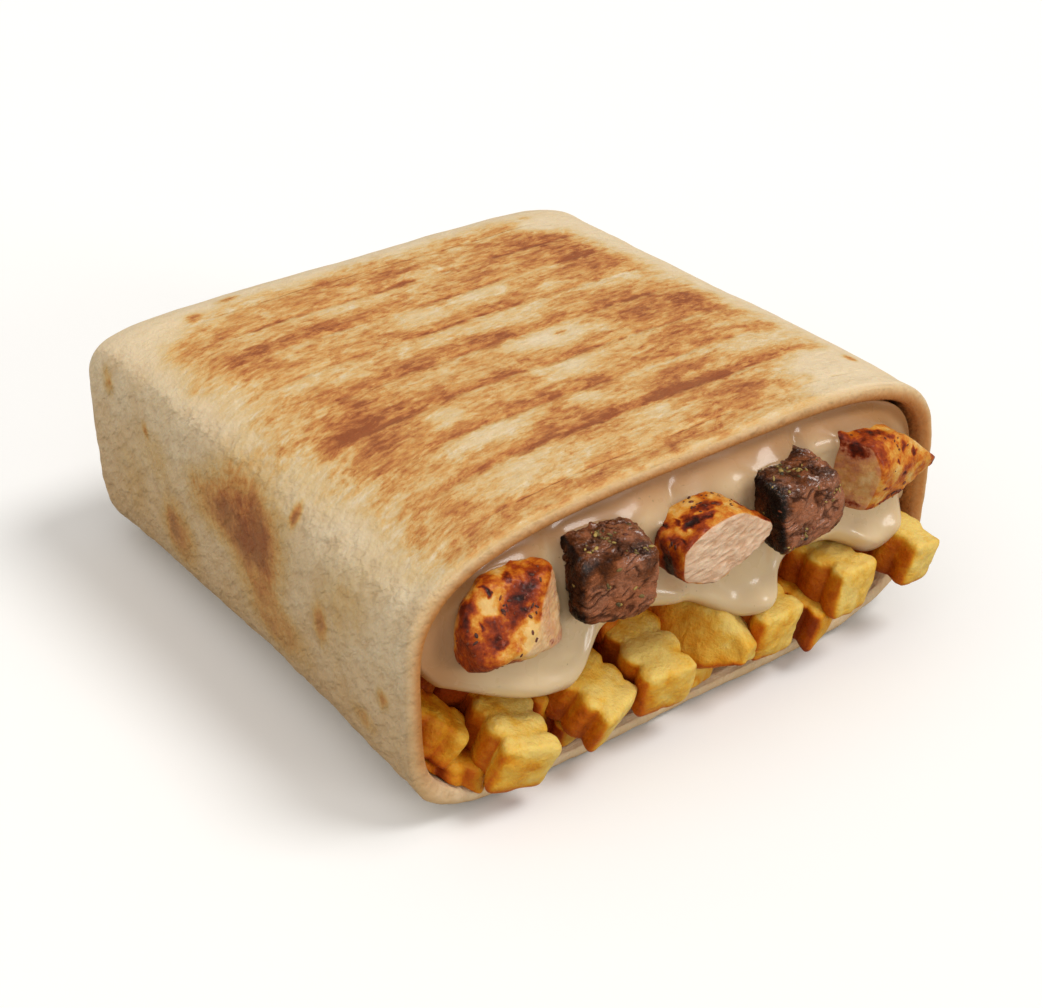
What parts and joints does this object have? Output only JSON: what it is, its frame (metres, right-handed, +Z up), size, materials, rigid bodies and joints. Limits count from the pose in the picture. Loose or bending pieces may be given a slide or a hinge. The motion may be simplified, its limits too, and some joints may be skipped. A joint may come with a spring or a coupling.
{
  "type": "french taco",
  "caption": "Pressed and folded wheat tortilla parcel cut open at one end, filled with crinkle fries, cheese sauce and grilled meat cubes.",
  "frame": {"origin": "on the flat underside, in the middle of the folded tortilla", "axes": "+X to the right across the open mouth, +Y from the open mouth to the folded end, +Z up"},
  "size_m": [0.1199, 0.1349, 0.0548],
  "materials": {
    "tortilla": "soft toasted flatbread with brown press marks",
    "sauce": "glossy cream cheese sauce",
    "fries": "fried potato, golden with brown edges",
    "chicken": "grilled and seared, slightly wet",
    "beef": "grilled and peppered, slightly wet"
  },
  "bodies": {
    "root": {"tortilla": "tortilla", "sauce": "sauce", "fries": "fries", "chicken_left": "chicken", "beef_left": "beef", "chicken_middle": "chicken", "beef_right": "beef", "chicken_right": "chicken"}
  },
  "joints": []
}
